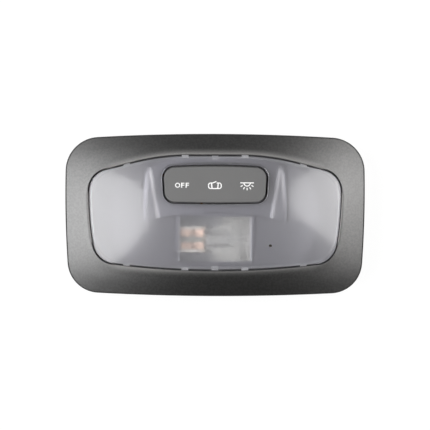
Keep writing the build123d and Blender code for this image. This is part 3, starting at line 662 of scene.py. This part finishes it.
def door_legend():
    """Car from above with an open door."""
    bm = bmesh.new()
    x, y, line = -0.1, 14.6, 0.52
    corner = 1.08
    corner_x, corner_y = 2.1, 0.3
    end_x, side_y = corner_x + corner, corner_y + corner
    end_half, side_half = 0.31, 2.15
    pillar_low, pillar_high, pillar_half, pillar_line = 1.45, 1.65, 1.3, 0.624
    door_start, door_end = (-1.5, 1.25), (0.75, 2.15)
    gap_left, gap_right = -1.4, 0.9
    for side in (-1, 1):
        above, below = (pi / 2, pi) if side < 0 else (0, 1.5 * pi)
        arc_band(bm, (x + side * corner_x, y + corner_y), corner, line, above, pi / 2, CORNER_STEPS)
        arc_band(bm, (x + side * corner_x, y - corner_y), corner, line, below, pi / 2, CORNER_STEPS)
        bar(bm, (x + side * end_x, y - end_half), (x + side * end_x, y + end_half), line)
        foot, head = (x + side * pillar_low, y - pillar_half), (x + side * pillar_high, y + pillar_half)
        bar(bm, foot, head, pillar_line)
    bar(bm, (x - side_half, y - side_y), (x + side_half, y - side_y), line)
    bar(bm, (x + gap_right, y + side_y), (x + side_half, y + side_y), line)
    bar(bm, (x - side_half, y + side_y), (x + gap_left, y + side_y), line)
    bar(bm, (x + door_start[0], y + door_start[1]), (x + door_end[0], y + door_end[1]), line)
    print_on_rocker("legend_door", bm)


def lamp_legend():
    """Lamp with rays."""
    bm = bmesh.new()
    x, y, line = 16.0, 16.1, 0.5
    top_half, bowl = 3.4, 1.6
    rays, first_ray, ray_pitch, ray_start, ray_length = 5, -150, 30, 2.5, 1.2
    bar(bm, (x - top_half, y), (x + top_half, y), line)
    arc_band(bm, (x, y), bowl, line, pi, pi, BOWL_STEPS)
    for ray in range(rays):
        angle = radians(first_ray + ray_pitch * ray)
        heading = Vector((cos(angle), sin(angle)))
        start = Vector((x, y)) + heading * ray_start
        bar(bm, start, start + heading * ray_length, line)
    print_on_rocker("legend_lamp", bm)


# Grain of dirt, in millimetres
GRIT_X, GRIT_Y = 27.7, -15.3
GRIT_RADIUS = 0.75
GRIT_SHAPE = Matrix.Diagonal((1.1, 0.85, 0.35))
GRIT_LIFT = 0.06


def grit_speck():
    """Grain of dirt that lies on the lens."""
    bm = bmesh.new()
    bmesh.ops.create_icosphere(bm, subdivisions=2, radius=GRIT_RADIUS)
    for vert in bm.verts:
        x, y, z = vert.co
        lump = 1 + 0.22 * sin(9 * x + 4 * y) + 0.15 * sin(11 * z - 6 * y)
        vert.co = GRIT_SHAPE @ vert.co * lump
    bmesh.ops.translate(bm, vec=(GRIT_X, GRIT_Y, crown_z(GRIT_X, GRIT_Y) + GRIT_LIFT), verts=bm.verts)
    bmesh.ops.scale(bm, vec=(MM, MM, MM), verts=bm.verts)
    bmesh.ops.recalc_face_normals(bm, faces=bm.faces)
    for face in bm.faces:
        face.smooth = True
    new_piece("grit_speck", bm, dirt_finish(), "lamp")


# Finishes on the CAD nodes
brass = brass_finish()
bronze = metal_finish("bronze spring", tint(0.45, 0.26, 0.13), tint(0.66, 0.42, 0.24), ALONG_Y, 0.3)
spring = metal_finish("spring steel", tint(0.25, 0.25, 0.27), tint(0.45, 0.45, 0.46), ALONG_Y, 0.34)
zinc = metal_finish("zinc plated", grey(0.50), tint(0.70, 0.70, 0.69), PLATED, 0.3)
wire = metal_finish("lead wire", tint(0.45, 0.43, 0.40), tint(0.68, 0.66, 0.62), ALONG_X, 0.25)
tungsten = metal_finish("tungsten", tint(0.16, 0.16, 0.17), tint(0.30, 0.30, 0.31), WIRE_DRAWN, 0.4)
white_ink = print_finish()
dress(["bezel"], bezel_finish())
dress(["rocker"], rocker_finish())
dress(["lens"], lens_finish())
dress(["reflector"], reflector_finish())
dress(["bulb_diffuser"], diffuser_finish())
dress(["housing"], housing_finish())
dress(["bulb_holder"], holder_finish())
dress(["bulb_glass"], bulb_finish())
nodes["bulb_glass"].visible_shadow = False
dress(["bulb_filament"], tungsten)
dress(["bulb_lead_upper", "bulb_lead_lower"], wire)
dress(["supply_bar", "lamp_bar", "door_bar", "ground_bar"], brass)
dress(["contact_bridge"], bronze)
dress(["detent_leaf", "retaining_clip_left", "retaining_clip_right"], spring)
dress(["housing_screws"], zinc)
off_legend()
door_legend()
lamp_legend()
grit_speck()

# Stage: a white floor under the lamp and soft boxes on both sides of the camera, in metres
FLOOR_HALF = 3.0
FLOOR_GAP = 0.0002
BOX_HEIGHT = 0.9

# Glow of the floor, its share where the floor is seen and where it only lights
FLOOR_GLOW = 1.06
SEEN_SHARE = 0.88
LIGHT_SHARE = 0.3

# Radiance above which a soft box is sampled as a lamp
SAMPLED_FROM = 5.0


def stage_sheet(name, corners, height, material, facing):
    """Flat stage piece from its corners."""
    bm = bmesh.new()
    face = bm.faces.new([bm.verts.new((x, y, height)) for x, y in corners])
    bm.normal_update()
    if face.normal.z * facing < 0:
        face.normal_flip()
    sheet = new_object(name, bm, material)
    return sheet


def one_sided(f, front):
    """Surface that is clear from behind."""
    behind = f.node("ShaderNodeNewGeometry", output="Backfacing")
    return f.surface(f.mix_shader(behind, front, f.clear(grey(1.0))))


def floor_finish():
    """White floor that keeps the shadow; it is clear from below."""
    f = Finish("floor white")
    path = f.light_path("Is Camera Ray")
    seen = path.most(path.other("Is Glossy Ray")).most(path.other("Is Transmission Ray"))
    paint = f.node("ShaderNodeBsdfDiffuse", None, {"Color": grey(0.8)})
    glow = f.node("ShaderNodeEmission", None, {"Color": grey(1.0), "Strength": FLOOR_GLOW})
    f.material.cycles.emission_sampling = "NONE"
    return one_sided(f, f.mix_shader((seen * SEEN_SHARE).most(LIGHT_SHARE), paint, glow))


def box_finish(radiance, warm):
    """Even glow of a soft box, from its front only; a weak one isn't sampled as a lamp."""
    f = Finish("soft box")
    glow = f.node("ShaderNodeEmission", None, {"Color": grey(1.0, warm), "Strength": radiance})
    f.material.cycles.emission_sampling = "FRONT" if radiance > SAMPLED_FROM else "NONE"
    return one_sided(f, glow)


def rectangle(left, right, low, high):
    return [(left, low), (right, low), (right, high), (left, high)]


stage_sheet("floor", rectangle(-FLOOR_HALF, FLOOR_HALF, -FLOOR_HALF, FLOOR_HALF),
            cad_low.z - FLOOR_GAP, floor_finish(), 1)

# Soft boxes: the lens mirrors what lies within LENS_REACH, the bezel's ends what lies beyond it
LENS_REACH = 0.385
LEFT_REACH, LEFT_LOW, LEFT_HIGH = -0.54, -0.39, 0.40
RIGHT_REACH, RIGHT_LOW, RIGHT_HIGH = 0.50, -0.335, 0.48
RIGHT_SPLIT = 0.08
WING_REACH = 1.1
WARM = 0.012
left_shoulder = [(-0.333, 0.250), (-0.301, 0.240), (-0.264, 0.214), (-0.237, 0.185), (-0.215, 0.145)]
left_box = [
    *left_shoulder, (-0.209, 0.051), (-0.197, -0.014), (-0.195, -0.04), (-0.203, -0.072), (-0.229, -0.145),
    (-0.260, -0.218), (-0.301, -0.261), (-0.345, -0.30), (-LENS_REACH, -0.35), (-LENS_REACH, 0.34),
    (-0.37, 0.30)]
left_end = [
    (-LENS_REACH, -0.35), (-0.41, LEFT_LOW), (LEFT_REACH, LEFT_LOW), (LEFT_REACH, LEFT_HIGH),
    (-0.41, LEFT_HIGH), (-LENS_REACH, 0.34)]
left_halo = [(-0.37, 0.30), *left_shoulder, (-0.19, 0.21), (-0.23, 0.31), (-0.30, 0.37), (-0.37, 0.38)]
left_wing = rectangle(-WING_REACH, LEFT_REACH, LEFT_LOW, LEFT_HIGH)
right_shoulder = [
    (LENS_REACH, 0.43), (0.36, 0.34), (0.33, 0.29), (0.296, 0.25), (0.2735, 0.233), (0.249, 0.203)]
right_box = [
    (0.235, 0.167), (0.229, 0.12), (0.228, 0.07), (0.232, 0.03), (0.243, -0.007), (0.266, -0.035),
    (0.292, -0.065), (0.308, -0.09), (0.328, -0.13), (0.368, -0.175), (LENS_REACH, -0.215), *right_shoulder]
right_halo = [(0.235, 0.167), *reversed(right_shoulder), (0.33, 0.41), (0.26, 0.32), (0.222, 0.22)]
right_glint = [
    (0.275, -0.125), (0.31, -0.125), (0.322, -0.15), (0.322, -0.2), (0.30, -0.235), (0.275, -0.235)]
right_head = [
    (LENS_REACH, RIGHT_SPLIT), (RIGHT_REACH, RIGHT_SPLIT), (RIGHT_REACH, RIGHT_HIGH), (0.41, RIGHT_HIGH),
    (LENS_REACH, 0.43)]
right_foot = [
    (LENS_REACH, RIGHT_SPLIT), (RIGHT_REACH, RIGHT_SPLIT), (RIGHT_REACH, RIGHT_LOW), (0.41, RIGHT_LOW),
    (LENS_REACH, -0.27)]
right_wing = rectangle(RIGHT_REACH, WING_REACH, RIGHT_LOW, RIGHT_HIGH)
top_glow = rectangle(-0.1, 0.17, 0.38, 0.62)

# Each soft box with its radiance and warmth
for name, corners, radiance, warm in (
    ("left", left_box, 7.4, 0.0),
    ("left_end", left_end, 10.0, 0.0),
    ("left_halo", left_halo, 1.8, 0.0),
    ("left_wing", left_wing, 2.8, 0.0),
    ("right", right_box, 5.7, WARM),
    ("right_halo", right_halo, 1.0, WARM),
    ("right_glint", right_glint, 0.3, WARM),
    ("right_head", right_head, 12.4, WARM),
    ("right_foot", right_foot, 8.4, WARM),
    ("right_wing", right_wing, 0.8, WARM),
    ("top_glow", top_glow, 0.4, 0.0),
):
    box = stage_sheet("box_" + name, corners, BOX_HEIGHT, box_finish(radiance, warm), -1)
    box.visible_camera = False

# World: dim overhead, brighter towards the horizon and the +Y side
FILL_ABOVE = 0.09
FILL_SIDE = 0.5
SKY_LEAN = (0, -0.25, 1)
SKY_TOP, SKY_SIDE = 0.95, 0.3
world = bpy.data.worlds.new("studio")
bpy.context.scene.world = world
world.use_nodes = True
sky = world.node_tree
sky.nodes.clear()
sky_way = sky.nodes.new("ShaderNodeTexCoord")
sky_tilt = sky.nodes.new("ShaderNodeVectorMath")
sky_tilt.operation = "DOT_PRODUCT"
sky_tilt.inputs[1].default_value = SKY_LEAN
sky_level = sky.nodes.new("ShaderNodeMapRange")
sky_level.inputs["From Min"].default_value = SKY_TOP
sky_level.inputs["From Max"].default_value = SKY_SIDE
sky_level.inputs["To Min"].default_value = FILL_ABOVE
sky_level.inputs["To Max"].default_value = FILL_SIDE
sky_fill = sky.nodes.new("ShaderNodeBackground")
sky_out = sky.nodes.new("ShaderNodeOutputWorld")
for start, end in (
    (sky_way.outputs["Generated"], sky_tilt.inputs[0]),
    (sky_tilt.outputs["Value"], sky_level.inputs["Value"]),
    (sky_level.outputs[0], sky_fill.inputs["Color"]),
    (sky_fill.outputs[0], sky_out.inputs["Surface"]),
):
    sky.links.new(start, end)

# Camera straight above, rolled slightly as in the photograph
FRAME_WIDTH = 215.4 * MM
FRAMED_LEVEL = 5 * MM
CAMERA_HEIGHT = 3.0
CAMERA_ROLL = 0.17
CAMERA_REACH = 20.0
SENSOR = 36.0
camera_data = bpy.data.cameras.new("camera")
camera_data.sensor_width = SENSOR
camera_data.lens = SENSOR * (CAMERA_HEIGHT - FRAMED_LEVEL) / FRAME_WIDTH
camera_data.clip_end = CAMERA_REACH
camera = bpy.data.objects.new("camera", camera_data)
bpy.context.scene.collection.objects.link(camera)
camera.location = (0, 0, CAMERA_HEIGHT)
camera.rotation_euler = (0, 0, radians(CAMERA_ROLL))
bpy.context.scene.camera = camera
bpy.context.scene.view_settings.view_transform = "Standard"
